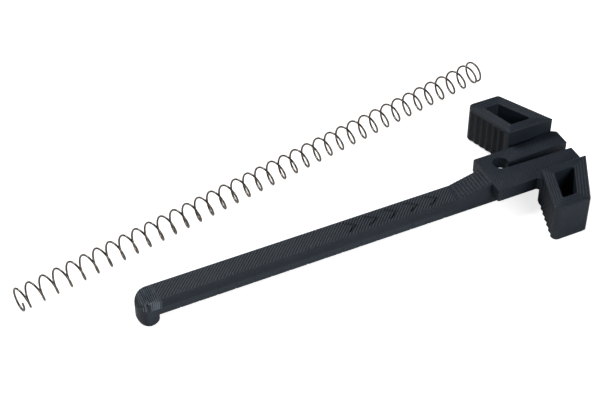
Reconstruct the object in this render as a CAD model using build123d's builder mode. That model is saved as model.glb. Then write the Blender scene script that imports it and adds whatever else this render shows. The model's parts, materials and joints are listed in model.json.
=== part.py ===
"""T-handle pull bar with a flexing latch arm, and its long return spring.

Frame: +X runs along the bar from the hooked tip to the head, +Y to the latch side, +Z up.
The origin is the middle of the bar's flat underside. Millimetres.
"""
from build123d import *
import math
import os

os.makedirs("parts", exist_ok=True)

# ---- bar -------------------------------------------------------------------------------------
bar_length = 156.5          # tip to the rear ends of the two arms
bar_width = 8.2
bar_height = 5.95
bar_bevel = 0.5             # bevel on the two long top edges
tip_flat = 2.2              # height at which the nose starts to round over to the top
tip_roll = 5.6              # length over which the top rolls down to the nose
hook_length = 6.3           # the hook under the tip, along the bar
hook_drop = 3.9             # how far it hangs below the bar's underside

# ---- head plate ------------------------------------------------------------------------------
ramp_start = 111.3          # from the tip
ramp_length = 12.1
plate_half_width = 8.6
plate_thickness = 4.8
plate_top = 8.9
plate_corner = 0.7          # round on the two front corners
keel_length = 3.2           # the bar runs on under the plate by this much before it slopes away
rear_chamfer = 1.1          # on the outer rear corner of each arm

# ---- keyhole slot that frees the latch arm ---------------------------------------------------
hole_radius = 2.65
hole_from_front = 7.7       # plate front edge to hole centre
hole_offset = 3.3           # hole centre, towards the latch side
slot_width = 1.75           # where it leaves the hole
slot_flare_fixed = 0.75     # how far the fixed side falls away by the rear end
slot_flare_latch = 0.45     # and the latch side
flexure_gap = 0.1           # hairline between the fixed neck and the arm's root

# ---- finger paddles, a mirrored pair ---------------------------------------------------------
paddle_inner = 10.05        # centre plane of the bar to the paddle's inner wall
paddle_outer = 28.9
paddle_height = 14.3
paddle_inner_front = 18.5   # rear end of the arms to the front of the inner wall
paddle_inner_rear = 1.5
paddle_outer_front = 24.8
paddle_outer_rear = 11.8
outer_round = 2.2           # upright corner, outer front
small_round = 0.8           # the other outer corner
rim_chamfer = 0.45
inner_wall = 3.45           # walls round the finger window
outer_wall = 4.3
front_wall = 3.5
rear_wall = 4.3
window_round = 0.6

# ---- saw-tooth grip on each paddle's front ---------------------------------------------------
tooth_count = 6
tooth_pitch = 2.45          # measured across the bar
tooth_land = 0.82           # share of the pitch taken by the broad facet
tooth_start = 1.7           # inner wall to the first tooth
tooth_rim = 1.4             # plain rim left above the teeth

# ---- recessed direction marks on top of the bar ----------------------------------------------
mark_count = 5
mark_pitch = 7.4
mark_centre = 88.8          # from the tip
mark_length = 4.6
mark_width = 4.4
mark_stroke = 1.2
mark_depth = 0.6

# ---- return spring, lying loose beside the bar -----------------------------------------------
wire_diameter = 0.75
coil_outside = 8.1
active_turns = 38
active_pitch = 4.8
end_pitch = 1.6             # one nearly closed turn at each end
end_gap = 0.12              # hairline between an end turn and the open turns
spring_tip_x = -31.0        # its tip-side end, from the bar's tip
spring_tip_y = 21.1
spring_turn = 10.4          # degrees, away from the bar's line towards the latch side
runs_per_turn = 14          # straight runs that stand for one round turn
wire_sides = 6

# ---- places worked out from the sizes above --------------------------------------------------
plate_bottom = plate_top - plate_thickness
plate_front = ramp_start + ramp_length
keel_end = plate_front + keel_length
tip_x = -(hook_length + keel_end) / 2
rear_x = tip_x + bar_length
front_x = tip_x + plate_front
hole_x = front_x + hole_from_front
hinge_y = hole_offset + hole_radius
inner_front_x = rear_x - paddle_inner_front
inner_rear_x = rear_x - paddle_inner_rear
outer_front_x = rear_x - paddle_outer_front
outer_rear_x = rear_x - paddle_outer_rear
half_width = bar_width / 2


def cut_line(start, end, inset):
    """The line through two plan points, moved to its left by inset."""
    run = Vector(end[0] - start[0], end[1] - start[1]).normalized()
    shift = Vector(-run.Y, run.X) * inset
    return Vector(*start) + shift, run


def crossing(first, second):
    """Plan point where two such lines meet."""
    (p, u), (q, v) = first, second
    along = ((q.X - p.X) * v.Y - (q.Y - p.Y) * v.X) / (u.X * v.Y - u.Y * v.X)
    return (p.X + u.X * along, p.Y + u.Y * along)


def from_tip(distance):
    return tip_x + distance


# ---- pull bar: hook, bar, ramp, head plate and the stiff arm, one print -----------------------
with BuildSketch(Plane.XY.offset(plate_bottom)) as head_plan:
    with BuildLine():
        Polyline(
            (front_x, -plate_half_width),
            (inner_front_x, -plate_half_width),
            (inner_front_x + (paddle_inner - plate_half_width), -paddle_inner),
            (inner_rear_x, -paddle_inner),
            (rear_x, -paddle_inner + rear_chamfer),
            (rear_x, paddle_inner - rear_chamfer),
            (inner_rear_x, paddle_inner),
            (inner_rear_x - paddle_inner_front / 4, paddle_inner),
            (inner_rear_x - paddle_inner_front / 2, plate_half_width + 0.35),
            (hole_x, plate_half_width),
            (front_x, plate_half_width),
            close=True,
        )
    make_face()
    front_corners = head_plan.vertices().group_by(Axis.X)[0]
    fillet(front_corners, plate_corner)
    with Locations((hole_x, hole_offset)):
        Circle(hole_radius, mode=Mode.SUBTRACT)
    slot_near = hole_offset - hole_radius
    with BuildLine():
        Polyline(
            (hole_x, slot_near),
            (rear_x + 1, slot_near - slot_flare_fixed),
            (rear_x + 1, slot_near + slot_width + slot_flare_latch),
            (hole_x, slot_near + slot_width),
            close=True,
        )
    make_face(mode=Mode.SUBTRACT)

with BuildSketch(Plane.XY.offset(plate_bottom)) as latch_side:
    with BuildLine():
        Polyline(
            (hole_x, slot_near + slot_width / 2),
            (rear_x + 1, slot_near + slot_width / 2),
            (rear_x + 1, paddle_inner + 1),
            (hole_x, paddle_inner + 1),
            close=True,
        )
    make_face()

with BuildSketch() as direction_mark:
    with BuildLine():
        Polyline(
            (-mark_length / 2, -mark_width / 2),
            (mark_length / 2 - mark_stroke, 0),
            (-mark_length / 2, mark_width / 2),
            (-mark_length / 2 + mark_stroke, mark_width / 2),
            (mark_length / 2, 0),
            (-mark_length / 2 + mark_stroke, -mark_width / 2),
            close=True,
        )
    make_face()

with BuildPart() as pull_bar:
    with BuildSketch(Plane.XZ) as side_view:
        with BuildLine():
            Line((tip_x, -hook_length / 4), (tip_x, tip_flat))
            EllipticalCenterArc(
                (tip_x + tip_roll, tip_flat), tip_roll, bar_height - tip_flat, start_angle=90, arc_size=90
            )
            Polyline(
                (tip_x + tip_roll, bar_height),
                (from_tip(ramp_start), bar_height),
                (front_x, plate_top),
                (from_tip(keel_end) + plate_bottom, plate_top),
                (from_tip(keel_end) + plate_bottom, plate_bottom),
                (from_tip(keel_end), 0),
                (tip_x + hook_length, 0),
                (tip_x + hook_length, -hook_length / 8),
            )
            Spline(
                (tip_x + hook_length, -hook_length / 8),
                (tip_x + hook_length * 0.47, -hook_drop),
                (tip_x, -hook_length / 4),
                tangents=[(0, -1), (0, 1)],
            )
        make_face()
    extrude(amount=half_width, both=True)
    long_top_edges = pull_bar.edges().filter_by(Axis.X).group_by(Axis.Z)[-2]
    chamfer(long_top_edges, bar_bevel)
    with BuildSketch(Plane.XY.offset(-hook_drop)):
        with Locations((tip_x + half_width, 0)):
            Circle(half_width)
        with Locations((tip_x + half_width, 0)):
            Rectangle(bar_length, bar_width, align=(Align.MIN, Align.CENTER))
    extrude(amount=hook_drop + plate_top, mode=Mode.INTERSECT)
    with BuildSketch(Plane.XY.offset(plate_bottom)):
        add(head_plan.sketch)
    extrude(amount=plate_thickness)
    with BuildSketch(Plane.XY.offset(-hook_drop)):
        with Locations((hole_x, hole_offset)):
            Circle(hole_radius)
        add(latch_side.sketch)
    extrude(amount=hook_drop + plate_top, mode=Mode.SUBTRACT)
    with BuildSketch(Plane.XY.offset(bar_height)):
        with Locations((from_tip(mark_centre), 0)):
            with GridLocations(mark_pitch, 1, mark_count, 1):
                add(direction_mark.sketch)
    extrude(amount=-mark_depth, mode=Mode.SUBTRACT)
pull_bar.part.label = "pull_bar"
export_step(pull_bar.part, "parts/pull_bar.step")


# ---- latch arm: the far side of the slot, free to flex inwards about the thin neck -------------
with BuildPart() as latch_arm:
    with BuildSketch(Plane.XY.offset(plate_bottom)):
        add(head_plan.sketch)
        add(latch_side.sketch, mode=Mode.INTERSECT)
        with Locations((hole_x, hinge_y)):
            Rectangle(flexure_gap, paddle_inner, align=(Align.MIN, Align.CENTER), mode=Mode.SUBTRACT)
    extrude(amount=plate_thickness)
latch_arm.part.label = "latch_arm"
export_step(latch_arm.part, "parts/latch_arm.step")


def make_paddle(side):
    """A finger paddle on one side of the bar: side is 1 for the latch side, -1 for the fixed one."""
    corners = [
        (inner_front_x, side * paddle_inner),
        (outer_front_x, side * paddle_outer),
        (outer_rear_x, side * paddle_outer),
        (inner_rear_x, side * paddle_inner),
    ]
    walls = [front_wall, outer_wall, rear_wall, inner_wall]
    edges = list(zip(corners, corners[1:] + corners[:1]))
    lines = [cut_line(a, b, -side * wall) for (a, b), wall in zip(edges, walls)]
    window = [crossing(line, lines[i - 1]) for i, line in enumerate(lines)]
    slope = (outer_front_x - inner_front_x) / (paddle_outer - paddle_inner)

    with BuildPart() as paddle:
        with BuildSketch():
            Polygon(*corners, align=None)
        extrude(amount=paddle_height)
        uprights = paddle.edges().filter_by(Axis.Z)
        outer = uprights.sort_by(Axis.Y)[-2:] if side > 0 else uprights.sort_by(Axis.Y)[:2]
        fillet(outer.sort_by(Axis.X)[0], outer_round)
        fillet(paddle.edges().filter_by(Axis.Z).sort_by(Axis.X).filter_by(
            lambda edge: abs(edge.center().X - outer_rear_x) < outer_round
            and abs(edge.center().Y - side * paddle_outer) < outer_round), small_round)
        chamfer(paddle.faces().sort_by(Axis.Z)[-1].edges(), rim_chamfer)
        chamfer(paddle.faces().sort_by(Axis.Z)[0].edges(), rim_chamfer)
        with BuildSketch():
            Polygon(*window, align=None)
            fillet(vertices(), window_round)
        extrude(amount=paddle_height, mode=Mode.SUBTRACT)
        with BuildSketch():
            for tooth in range(tooth_count):
                across = tooth_start + tooth * tooth_pitch
                root = inner_front_x + slope * across
                crest = inner_front_x + slope * (across + tooth_pitch)
                Polygon(
                    (root, side * (paddle_inner + across)),
                    (root, side * (paddle_inner + across + tooth_land * tooth_pitch)),
                    (crest, side * (paddle_inner + across + tooth_pitch)),
                    align=None,
                )
        extrude(amount=paddle_height - tooth_rim, mode=Mode.SUBTRACT)
    return paddle.part


for name, side in (("fixed_paddle", -1), ("latch_paddle", 1)):
    grip = make_paddle(side)
    grip.label = name
    export_step(grip, f"parts/{name}.step")

# ---- return spring: open turns between one nearly closed turn at each end ----------------------
coil_radius = (coil_outside - wire_diameter) / 2
rest_slope = math.atan2(hook_drop, bar_length - paddle_inner_rear - hook_length / 2)
flat_run = math.cos(rest_slope)
spring_axis = Vector(
    flat_run * math.cos(math.radians(spring_turn)),
    flat_run * math.sin(math.radians(spring_turn)),
    math.sin(rest_slope),
)
spring_floor = -hook_drop + (spring_tip_x - hook_length / 2) * math.tan(rest_slope)
spring_tip = Vector(from_tip(spring_tip_x), spring_tip_y, spring_floor + coil_outside / 2)
spring_plane = Plane(spring_tip, x_dir=(0, 0, 1), z_dir=spring_axis)


def make_turns(distance, pitch, turns):
    """Wire wound on the spring's axis, from distance along it, as short straight runs mitred together."""
    runs = range(round(turns * runs_per_turn) + 1)
    start = spring_plane.offset(distance)
    with BuildPart() as turns_of_wire:
        with BuildLine(start) as winding:
            Polyline(
                *[
                    (
                        coil_radius * math.cos(math.tau * run / runs_per_turn),
                        coil_radius * math.sin(math.tau * run / runs_per_turn),
                        pitch * run / runs_per_turn,
                    )
                    for run in runs
                ]
            )
        with BuildSketch(Plane(winding.line @ 0, z_dir=winding.line % 0)):
            RegularPolygon(wire_diameter / 2, wire_sides)
        sweep(transition=Transition.RIGHT)
    return turns_of_wire.part


open_start = end_pitch + end_gap
open_end = open_start + active_turns * active_pitch
for name, distance, pitch, turns in (
    ("spring_tip_end", 0, end_pitch, 1),
    ("spring_open_turns", open_start, active_pitch, active_turns),
    ("spring_head_end", open_end + end_gap, end_pitch, 1),
):
    wire = make_turns(distance, pitch, turns)
    wire.label = name
    export_step(wire, f"parts/{name}.step")
print(f"spring: {open_end + end_gap + end_pitch:.1f} mm free length, axis {spring_axis}")
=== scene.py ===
# %% [markdown]
# # A printed T-handle and its return spring
# The object is a black handle made on a filament printer, with a hooked bar, a thin head plate and two
# windowed finger paddles, and one long steel spring lying beside it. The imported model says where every
# part is. Here each part gets the surface that its making leaves: stair-steps, beads and print lines on
# the plastic, and an even, slightly dull shine on the drawn wire.
#
# Every shape is a surface worked out with numpy. The finished pieces are tied to the frame's bodies, so
# that they move as the joints do, and then come the materials, the floor, the light and the camera.

# %% Load the frame
import json
import math
import bpy
import bmesh
import numpy as np
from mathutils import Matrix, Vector


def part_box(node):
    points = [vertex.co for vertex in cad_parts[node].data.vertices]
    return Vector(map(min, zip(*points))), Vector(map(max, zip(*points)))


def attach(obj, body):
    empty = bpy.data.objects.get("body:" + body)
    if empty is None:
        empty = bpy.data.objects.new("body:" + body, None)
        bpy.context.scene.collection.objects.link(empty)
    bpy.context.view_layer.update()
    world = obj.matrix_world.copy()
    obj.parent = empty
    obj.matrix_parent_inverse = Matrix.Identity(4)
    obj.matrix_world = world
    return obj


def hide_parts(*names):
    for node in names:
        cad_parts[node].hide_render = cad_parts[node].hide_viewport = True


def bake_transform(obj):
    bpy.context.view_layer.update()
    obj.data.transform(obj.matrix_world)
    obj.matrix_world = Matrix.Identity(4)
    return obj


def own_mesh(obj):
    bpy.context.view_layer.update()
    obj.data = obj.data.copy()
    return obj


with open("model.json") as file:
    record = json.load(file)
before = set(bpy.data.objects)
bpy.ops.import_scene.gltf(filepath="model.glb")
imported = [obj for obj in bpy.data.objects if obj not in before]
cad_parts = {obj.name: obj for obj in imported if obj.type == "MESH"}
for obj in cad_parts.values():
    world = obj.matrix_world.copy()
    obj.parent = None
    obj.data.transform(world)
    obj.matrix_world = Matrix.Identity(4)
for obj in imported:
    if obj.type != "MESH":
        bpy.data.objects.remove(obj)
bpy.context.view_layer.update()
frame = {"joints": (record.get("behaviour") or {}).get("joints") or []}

# %% [markdown]
# Everything is measured off the frame in millimetres and turned to metres only when a mesh is made, so a
# number here reads like a number on a drawing. X runs along the bar, Y across it and Z up.

# %% Sizes read from the frame
MM = 0.001


def box_mm(node):
    """The lowest and highest corner of a frame node, in millimetres."""
    low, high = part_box(node)
    return np.array(low) / MM, np.array(high) / MM


bar_low, bar_high = box_mm("pull_bar")
pad_low, pad_high = box_mm("latch_paddle")
tip_x, rear_x = bar_low[0], bar_high[0]
plate_bottom, plate_top = box_mm("latch_arm")[0][2], bar_high[2]
hook_bottom = bar_low[2]
paddle_height = pad_high[2]
paddle_inner, paddle_outer = pad_low[1], pad_high[1]
joints = {joint["name"]: joint for joint in frame["joints"]}
hinge_x, hinge_y = [value / MM for value in joints["latch_flex"]["pos_m"][:2]]
print(f"tip {tip_x:.2f}, rear {rear_x:.2f}, plate {plate_bottom:.2f} to {plate_top:.2f} mm")

# %% [markdown]
# A filament printer lays flat layers, and each layer is made of beads. Both can be seen on the real
# handle, so their sizes are set once here and every printed piece uses them.

# %% Sizes of the print itself
bar_half = 4.1              # half the bar's width
bar_height = 5.95           # its top, above its underside
bevel = 0.5
ramp_start = tip_x + 111.3
front_x = tip_x + 123.4     # front edge of the head plate
plate_half = 8.6            # half the head plate's width
ramp_layers = 10
layer = (plate_top - bar_height) / ramp_layers
bead = 0.05                 # how deep the groove between two layers is
line_pitch = 1.16           # between the slanting beads of the last layer
print(f"layer height {layer:.3f} mm, slanting beads {line_pitch} mm apart")

# %% [markdown]
# A printed surface is a regular one: rows of beads at fixed heights. It could be sculpted, or come from a
# displacement, but a grid of points worked out in one go keeps every bead at its true height and size. So
# a first helper turns points and faces into a mesh. It welds the points where a surface meets itself,
# turns all faces outwards, and keeps an edge sharp where it turns by more than 38 degrees.

# %% From points to a mesh
sharp_angle = 38


def add_mesh(name, points, faces, smooth=True):
    """A mesh object at the origin from points in millimetres and a list of faces."""
    mesh = bpy.data.meshes.new(name)
    mesh.from_pydata((np.asarray(points) * MM).tolist(), [], faces)
    mesh.update()
    shape = bmesh.new()
    shape.from_mesh(mesh)
    bmesh.ops.remove_doubles(shape, verts=shape.verts, dist=1e-6)
    bmesh.ops.dissolve_degenerate(shape, edges=shape.edges, dist=1e-7)
    bmesh.ops.recalc_face_normals(shape, faces=shape.faces)
    shape.to_mesh(mesh)
    shape.free()
    if smooth:
        mesh.shade_smooth()
        mesh.set_sharp_from_angle(angle=math.radians(sharp_angle))
    piece = bpy.data.objects.new(name, mesh)
    bpy.context.scene.collection.objects.link(piece)
    print(f"{name}: {len(mesh.vertices)} points, {len(mesh.polygons)} faces")
    return piece


print("edges stay sharp above", sharp_angle, "degrees")

# %% [markdown]
# A second helper joins neighbours on a grid. Where the shape closes on itself, the last row or column is
# joined to the first. A tube wraps one way, and a paddle with a window wraps both ways.

# %% Faces of a grid
def grid_faces(rows, columns, wrap_rows=False, wrap_columns=True):
    """Four-sided faces between neighbours of a rows by columns grid of points."""
    row = np.arange(rows if wrap_rows else rows - 1)
    column = np.arange(columns if wrap_columns else columns - 1)
    r, c = np.meshgrid(row, column, indexing="ij")
    r_next, c_next = (r + 1) % rows, (c + 1) % columns
    quads = np.stack([r * columns + c, r * columns + c_next,
                      r_next * columns + c_next, r_next * columns + c], axis=-1)
    return quads.reshape(-1, 4).tolist()


def end_caps(rows, columns):
    """One face across the first ring of a tube, and one across the last."""
    return [list(range(columns))[::-1], list(range((rows - 1) * columns, rows * columns))]


print("a tube of 3 rings with 4 points has", len(grid_faces(3, 4)), "side faces")

# %% [markdown]
# Some marks follow the shape: a painted highlight on a bead's crest, painted shade at the bottom of a groove, and a
# paler foot on the bar's sides. Such a number is stored on the mesh, one for each point, and the material reads it
# there. So it moves with the piece.

# %% Numbers stored on a piece
def mark(piece, name, values):
    """Store one number for each point of a piece, which its material can read."""
    piece.data.attributes.new(name, "FLOAT", "POINT").data.foreach_set("value", values.astype(np.float32))


def places_mm(piece):
    """The x, y and z of every point of a piece, in millimetres."""
    place = np.empty(len(piece.data.vertices) * 3)
    piece.data.vertices.foreach_get("co", place)
    return place.reshape(-1, 3).T / MM


# The first mark is a painted highlight on crests and the nose plus a paler foot on the sides; the second is painted
# shade in grooves and between teeth.
print("marks used: pale for worn crests, recess for grooves")

# %% [markdown]
# Two curves are used everywhere. One is a soft switch, which fades a pattern in or out. The other is the
# groove between two layers, as seen from the side.

# %% A soft switch and the groove between layers
def smoothstep(low, high, value):
    """0 below low, 1 above high, and a smooth rise 3tt - 2ttt between them."""
    t = np.clip((value - low) / (high - low), 0, 1)
    return t * t * (3 - 2 * t)


def bead_profile(z, top):
    """Distance that a wall stands in at height z: a groove, |cos|, at each layer line counted from top."""
    return bead * np.abs(np.cos(math.pi * (top - z) / layer)) ** 3


print(f"wall stands in {bead_profile(0.0, 0.0):.3f} mm at a layer line, {bead_profile(layer / 2, 0.0):.3f} between")

# %% [markdown]
# ## The bar
# The real bar is one long print with a hook under its tip and a ramp up to the head plate. It could be
# made from a stretched cube with loop cuts and bevels. Here it is a section carried along X, because its
# top changes all the way: it rolls down at the nose, climbs the ramp one layer at a time, carries the
# slanting lines of the last printed layer, and dips at the direction marks. Each of these is one short
# function of place, and the section just reads them.

# %% The bar's long profile
nose_roll, nose_flat = 5.6, 2.2
hook_length, hook_middle, hook_reach, hook_shoulder = 6.3, 3.05, 3.25, -1.2
keel_end, keel_slope = tip_x + 126.6, 4.1


def top_height(x):
    """Top of the bar: an ellipse at the nose, then level, then one step per layer up the ramp."""
    from_tip = np.clip((x - tip_x) / nose_roll, 0, 1)
    nose = nose_flat + (bar_height - nose_flat) * np.sqrt(1 - (1 - from_tip) ** 2)
    terraces = bar_height - np.floor((bar_height - nose) / layer + 0.5) * layer
    climb = np.clip((x - ramp_start) / (front_x - ramp_start) * ramp_layers, 0, ramp_layers)
    steps = (np.floor(climb) + smoothstep(0.72, 1.0, climb % 1)) * layer
    return terraces * 0.6 + nose * 0.4 + steps


def bottom_height(x):
    """Underside: half an oval for the hook, a step up to the level bar, and a slope under the plate."""
    across = np.clip((x - tip_x - hook_middle) / hook_reach, -1, 1)
    hook = hook_shoulder + (hook_bottom - hook_shoulder) * np.sqrt(1 - np.abs(across) ** 2.4)
    slope = np.clip((x - keel_end) / keel_slope, 0, 1) * plate_bottom
    return np.where(x < tip_x + hook_length, hook, slope)


def half_width(x):
    """Half the bar's width: a quarter circle at the nose, in plan."""
    from_tip = np.clip((x - tip_x) / bar_half, 0, 1)
    return bar_half * np.sqrt(1 - (1 - from_tip) ** 2)


print("top at the tip, the ramp's foot and the plate:", top_height(np.array([tip_x, ramp_start, front_x])).round(2))

# %% [markdown]
# Five plain chevrons are sunk in the top, ahead of the ramp. A Boolean cut would do for sharp ones, but on
# this print they are about two layers deep and have soft edges, so they are a dip in the height.

# %% Direction marks
mark_x = tip_x + 88.8 + (np.arange(5) - 2) * 7.4
mark_length, mark_width, mark_stroke, mark_depth = 4.6, 4.4, 1.2, 0.6


def chevron_depth(x, y):
    """Depth of the chevrons: the back edge runs from the middle forward point, falling back as |y| grows,
    and everything within one stroke ahead of it is cut down by mark_depth."""
    lean = (mark_length - mark_stroke) / (mark_width / 2)
    depth = np.zeros(np.broadcast(x, y).shape)
    for middle in mark_x:
        ahead = (x - middle) - (mark_length / 2 - mark_stroke) + np.abs(y) * lean
        inside = smoothstep(0, 0.25, ahead) * smoothstep(mark_stroke, mark_stroke - 0.25, ahead)
        depth = np.maximum(depth, inside * smoothstep(mark_width / 2 + 0.1, mark_width / 2 - 0.1, np.abs(y)))
    return depth * mark_depth


print("chevrons stand at x =", mark_x.round(1))

# %% [markdown]
# The last layer is filled with beads laid at 45 degrees. On the nose the layers below show through, so
# two sets cross there and give a rough, woven patch.

# %% Print lines on the top
weave_pitch = 1.3           # between the beads that cross the slanting ones


def ridge(x, y):
    """Height, from 0 to 1, of the slanting beads: |sin| of the distance across them."""
    return np.abs(np.sin(math.pi * (x - y) / line_pitch))


def weave(x, y):
    """Two sets of beads that cross: a sine across one set times a sine across the other."""
    return np.sin(math.tau * (x - y) / line_pitch) * np.sin(math.tau * (x + y) / weave_pitch)


def top_lines(x, y):
    """Height of the print lines: slanting beads of slowly changing strength, faded out near the long edges
    and at the ramp, and the crossed ones on the nose."""
    strength = 0.75 + 0.25 * np.sin(x * 0.11) * np.sin(x * 0.037 + 1.0)
    band = smoothstep(3.35, 2.95, np.abs(y)) * smoothstep(ramp_start, ramp_start - 1, x)
    beads = 0.3 * ridge(x, y) ** 0.8 * band * strength * smoothstep(tip_x + 5, tip_x + 8, x)
    on_nose = smoothstep(tip_x + 1, tip_x + 3, x) * smoothstep(tip_x + 8, tip_x + 5.5, x) * (np.abs(y) < 3.2)
    return beads + 0.22 * weave(x, y) * on_nose


print("a bead stands up to", top_lines(np.linspace(tip_x + 20, tip_x + 60, 400), 0.0).max().round(2), "mm")

# %% [markdown]
# Stations are where the section is drawn along the bar. They are close together at the round nose, 0.2 mm
# apart along the beads, and doubled where the underside steps. Levels are the heights up its sides, two
# for each layer, so that a groove lies on one and a bead on the next.

# %% Stations and levels
shoulder = tip_x + hook_length
stations = np.unique(np.concatenate([
    tip_x + bar_half * (1 - np.cos(np.linspace(0.06, math.pi / 2, 24))),
    np.arange(tip_x + 4.2, front_x - 0.05, 0.2),
    [shoulder - 1e-3, shoulder + 1e-3, front_x, front_x + 0.4],
    np.linspace(keel_end, keel_end + 4.0, 9),
]))
levels = bar_height - np.arange(0, 36, 0.5)[::-1] * layer
print(len(stations), "stations and", len(levels), "levels")

# %% [markdown]
# Each section is one closed ring: up one side, over the top and down the other. All rings are worked out
# at once, with stations down the rows and points of the ring along the columns.

# %% Carry the section along the bar
seam_pitch = 6.2            # faint upright grooves on the sides, where each run of infill ends
x = stations[:, None]
width, top, bottom = half_width(x), top_height(x), bottom_height(x)
top = np.where(x > front_x + 0.2, plate_bottom + 0.3, top)
edge = np.minimum(bevel, width * 0.5)
side_top = np.maximum(top - edge, bottom)
side_z = np.clip(levels[None, :] + np.maximum(side_top - bar_height, 0) * smoothstep(1, 5, levels[None, :]),
                 bottom, side_top)
seam = np.abs((x - tip_x - 4.0) % seam_pitch - seam_pitch / 2)
groove = 0.14 * smoothstep(0.3, 0.1, seam) * smoothstep(4.2, 3.2, side_z) * (x > tip_x + 9) * (x < ramp_start)
side_y = np.maximum(width - bead_profile(side_z, bar_height) - groove, 0)
side_y[:, 0] = 0
share = np.linspace(-1, 1, 34)[None, :]
top_y = share * (width - edge)
lift = top_lines(x, top_y) - chevron_depth(x, top_y)
top_z = np.maximum(top + lift * (x < front_x), bottom)
ring_y = np.concatenate([-side_y, top_y, side_y[:, :0:-1]], axis=1)
ring_z = np.concatenate([side_z, top_z, side_z[:, :0:-1]], axis=1)
ring_x = np.broadcast_to(x, ring_y.shape)
rows, columns = ring_y.shape
points = np.stack([ring_x, ring_y, ring_z], axis=-1).reshape(-1, 3)
bar = add_mesh("printed_bar", points, grid_faces(rows, columns) + end_caps(rows, columns))

# %% [markdown]
# The crests of the top beads get a painted highlight and their valleys painted shade. On the nose the crossed beads
# get painted glints and painted shade between them, and the sides are paler low down. The same two curves that
# shaped them say how much, so the tone can't slip off the shape.

# %% Painted highlights on crests and painted shade in valleys
px, py, pz = places_mm(bar)
low_side = smoothstep(3.4, 2.2, pz) * smoothstep(3.5, 4.0, np.abs(py)) * \
    smoothstep(ramp_start + 6, ramp_start - 12, px)
on_top = smoothstep(bar_height - 0.75, bar_height - 0.45, pz)
nose_top = smoothstep(tip_x + 0.6, tip_x + 2, px) * smoothstep(tip_x + 8, tip_x + 6, px) * (pz > 2.5)
lined = on_top * smoothstep(3.6, 3.2, np.abs(py)) * smoothstep(ramp_start, ramp_start - 1, px)
# Paler low on the sides, and a painted highlight on the crests of the top beads.
painted_highlight_and_paler_foot = np.maximum(low_side * 0.15, 0.55 * lined * ridge(px, py) ** 3 * (1 - nose_top))
# Painted glints where the crossed beads on the nose rise.
painted_highlight_and_paler_foot = np.maximum(painted_highlight_and_paler_foot, 1.3 * nose_top * smoothstep(0.0, 0.5, weave(px, py)))
# Painted shade in the valleys between beads, and between the crossed beads on the nose.
painted_valley_shade = (1 - ridge(px, py)) ** 0.7 * lined
painted_valley_shade = np.maximum(painted_valley_shade * (1 - nose_top), 0.6 * nose_top * smoothstep(0.1, -0.5, weave(px, py)))
mark(bar, "painted_highlight_and_paler_foot", painted_highlight_and_paler_foot)
mark(bar, "painted_shade", painted_valley_shade)
print(f"pale up to {painted_highlight_and_paler_foot.max():.2f}, recess up to {painted_valley_shade.max():.2f}")

# %% [markdown]
# ## The head plate and the latch arm
# The head plate is flat stock in plan: an outline pushed up through its thickness. The round hole and the
# slot open out of the rear edge, so the outline is one loop. It is cut in two just ahead of the thin neck
# beside the hole. The part behind the cut is the latch arm, which bends there and nowhere else. The real
# print has no cut, so the two faces that meet there stay square and show no line.

# %% Helpers for the outlines
hole_x, hole_y, hole_radius = hinge_x, 3.3, hinge_y - 3.3
seam_x = hole_x - 1.2


def arc(start, end, steps):
    """Points round the relief hole from one angle to another, in degrees."""
    angle = np.radians(np.linspace(start, end, steps))
    return np.stack([hole_x + hole_radius * np.cos(angle), hole_y + hole_radius * np.sin(angle)], axis=-1)


def finely(corners, step=0.9):
    """The same open line with points added, so that no straight run is longer than step."""
    corners = np.asarray(corners, float)
    parts = []
    for a, b in zip(corners[:-1], corners[1:]):
        count = max(1, math.ceil(np.hypot(*(b - a)) / step))
        parts.append(a + (b - a) * np.arange(count)[:, None] / count)
    return np.concatenate(parts + [corners[-1:]])


print(f"relief hole of radius {hole_radius:.2f} mm at {hole_x:.2f}, {hole_y:.2f}; cut at x {seam_x:.2f}")

# %% Outlines of the plate and of the latch arm
slot_near, slot_far = hole_y - hole_radius, hole_y - hole_radius + 1.75
corner = 1.1                # cut off the rear corners
seam_angle = math.degrees(math.acos((seam_x - hole_x) / hole_radius))
far_angle = -19.0           # where the slot's far side leaves the hole
inner_front, inner_rear = pad_high[0] - 17.0, rear_x - 1.5
plate_outline = np.concatenate([
    finely([(seam_x, plate_half), (front_x + 0.7, plate_half), (front_x + 0.2, plate_half - 0.2),
            (front_x, plate_half - 0.7), (front_x, 0.7 - plate_half), (front_x + 0.2, 0.2 - plate_half),
            (front_x + 0.7, -plate_half), (inner_front, -plate_half),
            (inner_front + paddle_inner - plate_half, -paddle_inner), (inner_rear, -paddle_inner),
            (rear_x, corner - paddle_inner), (rear_x, slot_near - 0.72)]),
    finely([(rear_x, slot_near - 0.72), (hole_x, slot_near)])[1:-1],
    arc(270, seam_angle, 34),
])
arm_outline = np.concatenate([
    arc(seam_angle, far_angle, 34),
    finely([(hole_x + hole_radius, slot_far + 0.04), (rear_x, slot_far + 0.43), (rear_x, paddle_inner - corner),
            (inner_rear, paddle_inner), (inner_rear - 4.625, paddle_inner), (inner_rear - 9.25, plate_half + 0.35),
            (hole_x, plate_half), (seam_x, plate_half)], 0.6)[1:],
])
print("outline points", len(plate_outline), len(arm_outline))

# %% [markdown]
# An extruded curve with a bevel would give the plain plate. The walls here also need a groove at each
# layer line, so the outline is stacked ring by ring, and each ring is moved in by what its height asks
# for. At a corner, the move has to suit both of the edges that meet there, as a mitre does.

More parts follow.
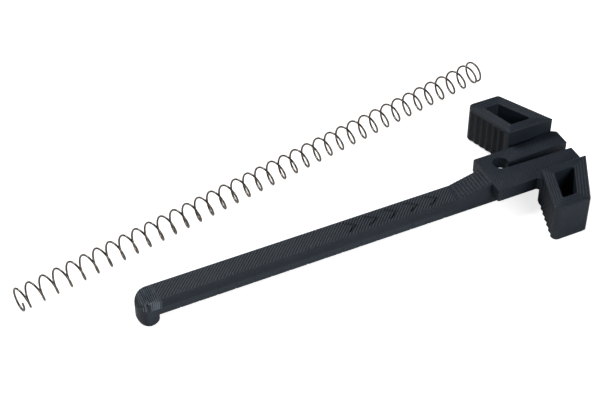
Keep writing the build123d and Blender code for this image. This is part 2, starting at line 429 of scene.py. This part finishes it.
# %% Push an outline up
def inset_outline(outline, before, normal, on_seam, amount):
    """The outline moved in by amount, apart from the seam's edge. A point goes to where its two moved edges
    cross; where they are nearly in line it goes along the mean of their normals instead."""
    cross = before[:, 0] * normal[:, 1] - before[:, 1] * normal[:, 0]
    first = np.where(np.roll(on_seam, 1), 0.0, amount)
    second = np.where(on_seam, 0.0, amount)
    mitred = np.stack([first * normal[:, 1] - second * before[:, 1],
                       second * before[:, 0] - first * normal[:, 0]], axis=-1)
    sharp = np.abs(cross) > 0.05
    smooth_move = (before + normal) / 2 * np.minimum(first, second)[:, None]
    return outline + np.where(sharp[:, None], mitred / np.where(sharp, cross, 1)[:, None], smooth_move)


def prism(name, outline, low, high, seam, rim=0.25):
    """Push an outline up from low to high with beaded walls and quarter-circle rims of radius rim."""
    outline = outline[np.hypot(*(outline - np.roll(outline, 1, axis=0)).T) > 1e-4]
    run = np.roll(outline, -1, axis=0) - outline
    if np.sum(outline[:, 0] * run[:, 1] - outline[:, 1] * run[:, 0]) < 0:
        outline = outline[::-1].copy()
        run = np.roll(outline, -1, axis=0) - outline
    run /= np.hypot(*run.T)[:, None]
    normal = np.stack([-run[:, 1], run[:, 0]], axis=-1)
    before = np.roll(normal, 1, axis=0)
    on_seam = (np.abs(outline[:, 0] - seam) < 1e-3) & (np.abs(np.roll(outline, -1, axis=0)[:, 0] - seam) < 1e-3)
    turn = np.linspace(0, math.pi / 2, 5)
    walls = np.arange(high - rim - layer / 2, low + rim, -layer / 2)[::-1]
    profile = [(rim * (1 - math.sin(t)), low + rim * (1 - math.cos(t))) for t in turn]
    profile += [(float(bead_profile(z, high)), z) for z in walls]
    profile += [(rim * (1 - math.cos(t)), high - rim * (1 - math.sin(t))) for t in turn]
    rings = [np.column_stack([inset_outline(outline, before, normal, on_seam, move), np.full(len(outline), z)])
             for move, z in profile]
    rows, columns = len(rings), len(outline)
    return add_mesh(name, np.concatenate(rings), grid_faces(rows, columns) + end_caps(rows, columns))


head = prism("printed_head", plate_outline, plate_bottom, plate_top, seam_x)
arm = prism("latch_arm_print", arm_outline, plate_bottom, plate_top, seam_x)

# %% [markdown]
# ## The finger paddles
# A finger pulls on each paddle. It is a skewed four-sided block with a window right through, and a
# saw-tooth grip down its front. Booleans would cut the window and the teeth, but they leave long thin
# faces and no print lines. As a surface, the paddle is a tube with four leaning walls: up the outside,
# across the top, down the window and back under. So it is a grid that closes on itself both ways.

# %% Corners of a paddle
paddle_front, paddle_outer_front = rear_x - 18.5, rear_x - 24.8
paddle_outer_rear = rear_x - 11.8
slope = (paddle_outer_front - paddle_front) / (paddle_outer - paddle_inner)
# Walking this way round keeps the inside of the paddle on the left: rear, outer, front and inner sides.
corners = [(inner_rear, paddle_inner), (paddle_outer_rear, paddle_outer),
           (paddle_outer_front, paddle_outer), (paddle_front, paddle_inner)]
side_moves = np.array([4.3, 4.3, 3.5, 3.45])        # how thick each wall is, in the same order
outer_radii, window_radii = [0.25, 1.6, 2.2, 0.25], [0.6] * 4


def offset_corners(corners, moves):
    """Corners of the four-sided shape whose sides are moved in by the given distances: each new corner is
    where two neighbouring moved sides cross."""
    corners = np.asarray(corners, float)
    run = np.roll(corners, -1, axis=0) - corners
    run /= np.hypot(*run.T)[:, None]
    normal = np.stack([-run[:, 1], run[:, 0]], axis=-1)
    anchor = corners + normal * np.asarray(moves, float)[:, None]
    p, u, q, v = np.roll(anchor, 1, axis=0), np.roll(run, 1, axis=0), anchor, run
    along = ((q[:, 0] - p[:, 0]) * v[:, 1] - (q[:, 1] - p[:, 1]) * v[:, 0]) / \
        (u[:, 0] * v[:, 1] - u[:, 1] * v[:, 0])
    return p + u * along[:, None]


print("window corners", offset_corners(corners, side_moves).round(1).tolist())

# %% [markdown]
# The printer lays the rim as rings round the window, and a line through each corner shows where the rings
# turn. Every outline has the same number of points along each side, so that the rings keep their corners.

# %% Rounded outlines
def rounded(corners, radii, shares, bend=5):
    """Outline with rounded corners: each side is half an arc, points at the given shares, and half an arc.
    An arc's centre is radius / sin(half its corner's angle) away from the corner, on the line halving it."""
    line = []
    for i in range(4):
        here, there = corners[i], corners[(i + 1) % 4]
        curves = []
        for middle, other, last, radius in ((here, there, corners[i - 1], radii[i]),
                                            (there, here, corners[(i + 2) % 4], radii[(i + 1) % 4])):
            ahead = (other - middle) / np.hypot(*(other - middle))
            back = (last - middle) / np.hypot(*(last - middle))
            half = math.acos(np.clip(ahead @ back, -1, 1)) / 2
            bisector = (ahead + back) / np.hypot(*(ahead + back))
            centre = middle + bisector * radius / math.sin(half)
            side = ahead - bisector * (ahead @ bisector)
            side /= np.hypot(*side)
            angle = np.linspace(0, math.pi / 2 - half, bend)[:, None]
            curves.append(centre + radius * (side * np.sin(angle) - bisector * np.cos(angle)))
        first, second = curves[0], curves[1][::-1]
        line += [first, first[-1] + (second[0] - first[-1]) * np.asarray(shares[i])[:, None], second[:-1]]
    return np.concatenate(line)


print("points round a plain outline:", len(rounded(offset_corners(corners, side_moves), window_radii, [[0.5]] * 4)))

# %% [markdown]
# The grip is a stair in plan. Each of its six teeth is a broad facet straight across the bar, then a short
# steep one out to the next crest. Behind each crest the facet is hollowed a little, as the nozzle's path
# cuts inside a sharp turn. The teeth stop below a plain rim.

# %% The saw-tooth grip
tooth_pitch, tooth_land, tooth_start, tooth_count, tooth_rim = 2.45, 0.82, 1.7, 6, 1.4
tooth_hollow = 0.35


def toothed(line):
    """Where a tooth is cut, x can't be further forward than the tooth: level with the tooth's root along
    its land, then rising in proportion to the next crest, and hollowed behind the crest it starts from."""
    line = line.copy()
    across = line[:, 1] - paddle_inner
    tooth = np.floor((across - tooth_start) / tooth_pitch)
    inside = (tooth >= 0) & (tooth < tooth_count) & (across > tooth_start)
    within = (across - tooth_start) / tooth_pitch - tooth
    root = paddle_front + slope * (tooth_start + tooth * tooth_pitch)
    crest = root + slope * tooth_pitch
    limit = root + (crest - root) * np.clip((within - tooth_land) / (1 - tooth_land), 0, 1)
    limit += tooth_hollow * smoothstep(0, 0.12, within) * smoothstep(tooth_land + 0.04, tooth_land - 0.3, within)
    line[:, 0] = np.where(inside & (line[:, 0] < limit), limit, line[:, 0])
    return line


def side_shares():
    """Shares along each straight run; the front one has a point on each side of every tooth's edges."""
    plain = np.linspace(0, 1, 14)[1:-1]
    start, end = 15.95, 0.17
    across = [0.9]
    for tooth in range(tooth_count):
        root = tooth_start + tooth * tooth_pitch
        steep = root + tooth_land * tooth_pitch
        across += [root + 0.02, (root + steep) / 2, steep - 0.02, steep + 0.04, root + tooth_pitch - 0.02]
    shares = sorted((start - a) / (start - end) for a in across if end < a < start)
    return [plain, plain, np.array(shares), plain]


print(f"each tooth is {-slope * tooth_pitch:.2f} mm deep and {tooth_pitch} mm wide")

# %% [markdown]
# The rings now go in order round the wall of the paddle: its foot, up the outside, over the rim, down the
# window. The last is joined to the first underneath. Four printed rings cover the rim, with a dip
# between each two.

# %% Rings of a paddle
shares = side_shares()


def outline(inset):
    """The paddle's outside, moved in by inset."""
    radii = [max(radius - inset, 0.12) for radius in outer_radii]
    return rounded(offset_corners(corners, [inset] * 4), radii, shares)


def window(inset):
    """The window's outline, with its walls made thicker by inset."""
    return rounded(offset_corners(corners, side_moves + inset), window_radii, shares)


def paddle_rings(rim=0.45, rim_rings=4):
    """The closed stack of rings, from the foot of the outer wall round and back to it."""
    top = paddle_height
    tooth_top = top - tooth_rim
    rings = []

    def add(line, z):
        rings.append(np.column_stack([line, np.full(len(line), z)]))

    add(toothed(outline(rim)), 0.0)
    for z in np.arange(top - rim, rim, -layer / 2)[::-1]:
        line = outline(float(bead_profile(z, top)))
        add(toothed(line) if z < tooth_top else line, z)
        if z < tooth_top <= z + layer / 2:
            add(toothed(outline(0)), tooth_top - 1e-3)
            add(outline(0), tooth_top + 1e-3)
    edge, hole = outline(rim), window(0.0)
    for t in np.linspace(0, 1, 34):
        ripple = 0.16 * (1 - abs(math.sin(math.pi * rim_rings * t))) ** 1.3
        add(edge + (hole - edge) * t, top - ripple if 0 < t < 1 else top - 0.04)
    for z in np.arange(top - layer / 2, 0.3, -layer / 2):
        add(window(-float(bead_profile(z, top))), z)
    add(hole, 0.0)
    return np.array(rings)


rings = paddle_rings()
print("rings and points in each:", rings.shape[:2])

# %% [markdown]
# The far paddle is the near one mirrored in Y. Mirroring turns a mesh inside out, and add_mesh turns its faces
# outwards again. The inner corners of the teeth get painted shade.

# %% Build both paddles
paddles = {}
for name, body, side in (("near_paddle_print", "fixed_paddle", -1), ("far_paddle_print", "latch_paddle", 1)):
    points = rings.reshape(-1, 3) * [1, side, 1]
    paddles[body] = add_mesh(name, points, grid_faces(rings.shape[0], rings.shape[1], wrap_rows=True))
    px, py, pz = places_mm(paddles[body])
    across = np.abs(py) - paddle_inner
    behind = px - (paddle_front + slope * across)
    toothed_band = (across > tooth_start) & (across < tooth_start + tooth_count * tooth_pitch) & (behind < 1.5)
    # Painted shade in the corners between the teeth, deepest behind each crest.
    mark(paddles[body], "painted_shade", smoothstep(0.15, 0.95, behind) * toothed_band * (pz < paddle_height - tooth_rim))

# %% [markdown]
# ## The return spring
# The spring is one length of round wire, wound on a machine. Its pitch is wide along the whole length and
# closes over the last turn at each end, which gives the spring a flat seat. A curve with a round bevel
# would draw it, but a helix is a plain formula, so it is worked out. It is made as three lengths of the
# same curve, so that the ends keep their shape when the open turns are pressed together.

# %% Axis, turns and pitch
wire_radius, coil_radius, closed_pitch = 0.35, 3.675, 0.9
spring_start = np.array([-97.45, 21.1, -0.727])
spring_axis = np.array([0.983247, 0.180460, 0.025675])
spring_length, total_turns = 184.9, 39.25
turn_phase = 0.18 * math.tau     # where the cut end of the wire stands round the coil
up = np.array([0.0, 0, 1]) - spring_axis * spring_axis[2]
up /= np.linalg.norm(up)
sideways = np.cross(spring_axis, up)
turn_table = np.linspace(0, total_turns, 4001)
open_pitch = 4.8 + 0.1 * ((turn_table / total_turns - 0.4) / 0.4) ** 2      # a used spring isn't quite even
pitch = closed_pitch + (open_pitch - closed_pitch) * smoothstep(0.5, 1.1, turn_table) * \
    smoothstep(total_turns - 0.6, total_turns - 1.2, turn_table)
travel = np.concatenate([[0], np.cumsum((pitch[1:] + pitch[:-1]) / 2 * np.diff(turn_table))])
travel *= spring_length / travel[-1]
print(f"{total_turns} turns, {math.tau * coil_radius * total_turns / 1000:.2f} m of wire")

# %% [markdown]
# The travel along the axis is the pitch added up turn by turn. A ring of twelve points is then carried
# along the helix. It is kept square to the wire and not to the axis, or the wire would look flattened.

# %% A length of the wire
def wire(name, first, last, steps=30, sides=12):
    """A tube round a helix: a point goes round the axis at the coil's radius while it travels along it,
    and each ring of the tube stands square to the wire."""
    turn = np.linspace(first, last, round((last - first) * steps) + 1)
    angle = math.tau * turn + turn_phase
    along = np.interp(turn, turn_table, travel)
    radial = np.cos(angle)[:, None] * up + np.sin(angle)[:, None] * sideways
    centre = spring_start + along[:, None] * spring_axis + coil_radius * radial
    rate = np.gradient(along, turn)
    tangent = -np.sin(angle)[:, None] * up + np.cos(angle)[:, None] * sideways
    tangent = tangent * math.tau * coil_radius + rate[:, None] * spring_axis
    tangent /= np.linalg.norm(tangent, axis=1)[:, None]
    binormal = np.cross(tangent, radial)
    spin = np.linspace(0, math.tau, sides, endpoint=False)
    ring = np.cos(spin)[None, :, None] * radial[:, None] + np.sin(spin)[None, :, None] * binormal[:, None]
    rings = list(centre[:, None] + wire_radius * ring)
    if first == 0:                  # a small chamfer where the wire was cut
        rings.insert(0, centre[0] + wire_radius * 0.7 * ring[0] - tangent[0] * 0.08)
    if last == total_turns:
        rings.append(centre[-1] + wire_radius * 0.7 * ring[-1] + tangent[-1] * 0.08)
    rows = len(rings)
    return add_mesh(name, np.concatenate(rings), grid_faces(rows, sides) + end_caps(rows, sides))


tip_cut, head_cut = 0.9, total_turns - 1        # where the open turns start and end
tip_turn = wire("wire_tip_turn", 0, tip_cut)
open_turns = wire("wire_open_turns", tip_cut, head_cut)
head_turn = wire("wire_head_turn", head_cut, total_turns)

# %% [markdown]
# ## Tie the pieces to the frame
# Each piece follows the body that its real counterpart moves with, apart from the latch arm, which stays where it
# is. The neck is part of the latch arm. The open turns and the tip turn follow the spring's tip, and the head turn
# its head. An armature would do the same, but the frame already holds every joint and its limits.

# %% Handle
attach(bar, "bar")
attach(head, "bar")
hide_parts("pull_bar")
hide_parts("pull_bar")
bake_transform(arm)
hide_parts("latch_arm")
for node, body in (("fixed_paddle", "bar"), ("latch_paddle", "latch")):
    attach(paddles[node], body)
    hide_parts(node)
handle = (bar, head, arm, *paddles.values())
print("handle pieces", [piece.name for piece in handle])

# %% Spring
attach(tip_turn, "spring_tip")
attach(open_turns, "spring_tip")
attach(head_turn, "spring_head")
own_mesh(open_turns)
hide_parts("spring_tip_end")
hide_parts("spring_open_turns")
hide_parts("spring_head_end")
spring = (tip_turn, open_turns, head_turn)

# %% [markdown]
# ## Materials
# Colours are chosen as they look on a screen, in sRGB, and one function turns them to the linear values
# that light is added up in. One more function adds a node with its settings and links, so that a material
# reads as a list of nodes.

# %% Node helpers
def linear(code):
    """An sRGB hex colour as linear red, green, blue and alpha."""
    channels = [int(code[i:i + 2], 16) / 255 for i in (1, 3, 5)]
    return [c / 12.92 if c <= 0.04045 else ((c + 0.055) / 1.055) ** 2.4 for c in channels] + [1.0]


def add_node(tree, kind, **inputs):
    """Add a node and set its inputs by name: a node's output is linked and anything else is a value."""
    node = tree.nodes.new(kind)
    for key, value in inputs.items():
        name = key.replace("_", " ")
        if hasattr(node, key) and name not in node.inputs:
            setattr(node, key, value)
            continue
        socket = node.inputs[name] if name in node.inputs else node.inputs[int(key[1:])]
        if isinstance(value, bpy.types.NodeSocket):
            tree.links.new(value, socket)
        else:
            socket.default_value = value
    return node


def new_material(name):
    """An empty node material and its tree."""
    material = bpy.data.materials.new(name)
    material.use_nodes = True
    material.node_tree.nodes.clear()
    return material, material.node_tree


def finish_material(tree, shader):
    """Link the shader to the material's output."""
    output = tree.nodes.new("ShaderNodeOutputMaterial")
    tree.links.new(shader.outputs[0], output.inputs["Surface"])


print("middle grey #808080 is", [round(channel, 3) for channel in linear("#808080")[:3]], "in linear light")

# %% [markdown]
# The plastic is black PLA filament. It is nearly black with a trace of blue, and neither glossy nor flat: the sides
# of the beads shine where they face the light. The layers and beads that can be seen are real shape, and the
# material adds what is too fine for the mesh, along with painted light. Its colour goes from patchy black to a
# painted highlight on crests and the nose, is paler low on the sides, and falls to painted shade, near black, in
# grooves and between teeth.

# %% Colour of the filament, with painted highlights and painted shade
plastic, tree = new_material("black_pla_filament")
place = add_node(tree, "ShaderNodeTexCoord").outputs["Object"]
painted_highlight_and_paler_foot = add_node(tree, "ShaderNodeAttribute", attribute_name="painted_highlight_and_paler_foot").outputs["Fac"]
painted_shade = add_node(tree, "ShaderNodeAttribute", attribute_name="painted_shade").outputs["Fac"]
patches = add_node(tree, "ShaderNodeTexNoise", Vector=place, Scale=140.0, Detail=2.0)     # about 7 mm across
colour = add_node(tree, "ShaderNodeMix", data_type="RGBA")
tree.links.new(patches.outputs["Fac"], colour.inputs["Factor"])
colour.inputs["A"].default_value = linear("#212830")
colour.inputs["B"].default_value = linear("#2D353F")
lit = add_node(tree, "ShaderNodeMix", data_type="RGBA")
tree.links.new(painted_highlight_and_paler_foot, lit.inputs["Factor"])
tree.links.new(colour.outputs["Result"], lit.inputs["A"])
lit.inputs["B"].default_value = linear("#6A737E")     # painted highlight on crests and the nose, and paler low on the sides
deep = add_node(tree, "ShaderNodeMix", data_type="RGBA")
tree.links.new(painted_shade, deep.inputs["Factor"])
tree.links.new(lit.outputs["Result"], deep.inputs["A"])
deep.inputs["B"].default_value = linear("#08090B")    # painted shade between beads and teeth
print("plastic from #08090B in the grooves to #6A737E on the crests")

# %% [markdown]
# Two things are bumped and not modelled. One is the grain left where the filament dragged, 0.4 mm across,
# which is coarser than the real one so that it can be seen. The other is the slanting beads of the last
# layer on the flat plate, at their true spacing. They are only on faces that look up and are no higher
# than the plate, because the paddles are printed in rings.

# %% Grain and slanting lines
swept_ceiling = 0.0095      # metres: above the head plate and below the tops of the paddles
grain = add_node(tree, "ShaderNodeTexNoise", Vector=place, Scale=2400.0, Detail=3.0, Roughness=0.7)
rough = add_node(tree, "ShaderNodeMapRange", Value=grain.outputs["Fac"], To_Min=0.28, To_Max=0.5)
axes = add_node(tree, "ShaderNodeSeparateXYZ", Vector=place)
across_lines = add_node(tree, "ShaderNodeMath", operation="SUBTRACT", i0=axes.outputs["X"], i1=axes.outputs["Y"])
turns = add_node(tree, "ShaderNodeMath", operation="MULTIPLY", i0=across_lines.outputs[0],
                 i1=math.tau / (line_pitch * MM))
lines = add_node(tree, "ShaderNodeMath", operation="SINE", i0=turns.outputs[0])
low_top = add_node(tree, "ShaderNodeMath", operation="LESS_THAN", i0=axes.outputs["Z"], i1=swept_ceiling)
facing = add_node(tree, "ShaderNodeSeparateXYZ", Vector=add_node(tree, "ShaderNodeNewGeometry").outputs["Normal"])
upward = add_node(tree, "ShaderNodeMath", operation="GREATER_THAN", i0=facing.outputs["Z"], i1=0.7)
masked = add_node(tree, "ShaderNodeMath", operation="MULTIPLY", i0=low_top.outputs[0], i1=upward.outputs[0])
swept = add_node(tree, "ShaderNodeMath", operation="MULTIPLY", i0=lines.outputs[0], i1=masked.outputs[0])
height = add_node(tree, "ShaderNodeMath", operation="MULTIPLY_ADD", i0=swept.outputs[0], i1=0.16,
                  i2=grain.outputs["Fac"])
bump = add_node(tree, "ShaderNodeBump", Strength=0.8, Distance=0.00022, Height=height.outputs[0])
shader = add_node(tree, "ShaderNodeBsdfPrincipled", Base_Color=deep.outputs["Result"],
                  Roughness=rough.outputs["Result"], Normal=bump.outputs["Normal"],
                  IOR=1.46, Specular_IOR_Level=0.28)   # PLA, with part of its sheen lost between the beads
finish_material(tree, shader)
for piece in handle:
    piece.data.materials.append(plastic)
print(plastic.name, "on", len(handle), "pieces with", len(tree.nodes), "nodes")

# %% [markdown]
# The spring is carbon steel wire, drawn through a die and left with a thin brown-grey film of drawing
# soap. So it is a metal, a little dull, and its tone wanders slowly along the wire.

# %% Spring steel wire
steel, tree = new_material("drawn_spring_steel")
place = add_node(tree, "ShaderNodeTexCoord").outputs["Object"]
drawn = add_node(tree, "ShaderNodeTexNoise", Vector=place, Scale=900.0, Detail=2.0)      # about 1 mm across
tint = add_node(tree, "ShaderNodeMix", data_type="RGBA")
tree.links.new(drawn.outputs["Fac"], tint.inputs["Factor"])
tint.inputs["A"].default_value = linear("#5F5852")
tint.inputs["B"].default_value = linear("#837A72")
shader = add_node(tree, "ShaderNodeBsdfPrincipled", Base_Color=tint.outputs["Result"],
                  Metallic=1.0, Roughness=0.34)     # steel wire, dulled by its drawing soap
finish_material(tree, shader)
for piece in spring:
    piece.data.materials.append(steel)
print(steel.name, "on", len(spring), "pieces")

# %% [markdown]
# ## The studio
# The handle rests on the foot of its hook and the two feet of the paddles, so it leans a degree and a
# half, and the floor is drawn along those feet. The floor is an opal sheet lit from below. Its glow is
# seen only directly and lights nothing, or it would brighten every underside.

# %% Floor
foot_x, foot_z, heel_x = -63.3, hook_bottom, pad_high[0]
rise = -foot_z / (heel_x - foot_x)
floor_reach, floor_gap = 1500, 0.02
floor_points = [(x, y, foot_z + (x - foot_x) * rise - floor_gap) for x, y in
                ((-floor_reach, -floor_reach), (floor_reach, -floor_reach),
                 (floor_reach, floor_reach), (-floor_reach, floor_reach))]
floor = add_mesh("studio_floor", floor_points, [[0, 1, 2, 3]], smooth=False)
paper, tree = new_material("opal_light_table")
seen = add_node(tree, "ShaderNodeLightPath").outputs["Is Camera Ray"]
glow = add_node(tree, "ShaderNodeMath", operation="MULTIPLY", i0=seen, i1=0.76)
shader = add_node(tree, "ShaderNodeBsdfPrincipled", Base_Color=linear("#F6F6F6"), Roughness=0.9,
                  Emission_Color=linear("#FFFFFF"), Emission_Strength=glow.outputs[0])   # opal acrylic, lit below
finish_material(tree, shader)
floor.data.materials.append(paper)

# %% [markdown]
# Black plastic is lit by what it mirrors. A big soft light behind and to the left skims over the beads and
# picks them out, a weaker one in front opens the sides, and the world stays dim so that edges stay dark.

# %% Light
world = bpy.data.worlds.new("studio_world")
bpy.context.scene.world = world
world.use_nodes = True
world.node_tree.nodes["Background"].inputs["Color"].default_value = (1, 1, 1, 1)
world.node_tree.nodes["Background"].inputs["Strength"].default_value = 0.11


def soft_light(name, place, aim, size, power):
    """A square area light at place, facing aim, in millimetres and watts."""
    lamp = bpy.data.lights.new(name, "AREA")
    lamp.shape, lamp.size, lamp.energy = "SQUARE", size * MM, power
    holder = bpy.data.objects.new(name, lamp)
    bpy.context.scene.collection.objects.link(holder)
    holder.location = Vector(place) * MM
    holder.rotation_euler = (Vector(aim) - Vector(place)).to_track_quat("-Z", "Y").to_euler()
    print(f"{name}: {power} W from {place}")


soft_light("key", (-230, 590, 780), (0, 20, 0), 440, 6.4)
soft_light("front_fill", (150, -750, 450), (20, 0, 0), 400, 3.6)

# %% [markdown]
# The camera looks down at the handle from the front left, with a long lens, so that the two paddles keep
# nearly the same size.

# %% Camera
lens_place, lens_aim = np.array([-157.63, -313.21, 349.16]), np.array([1.43, 22.37, 0.0])
camera = bpy.data.cameras.new("camera")
camera.lens, camera.sensor_width = 91.2, 36.0
camera.clip_start, camera.clip_end = 0.01, 20.0
eye = bpy.data.objects.new("camera", camera)
bpy.context.scene.collection.objects.link(eye)
eye.location = (lens_place * MM).tolist()
eye.rotation_euler = Vector(lens_aim - lens_place).to_track_quat("-Z", "Y").to_euler()
bpy.context.scene.camera = eye
bpy.context.scene.view_settings.view_transform = "Standard"
print(f"camera {np.linalg.norm(lens_aim - lens_place):.0f} mm away with a {camera.lens:.1f} mm lens")
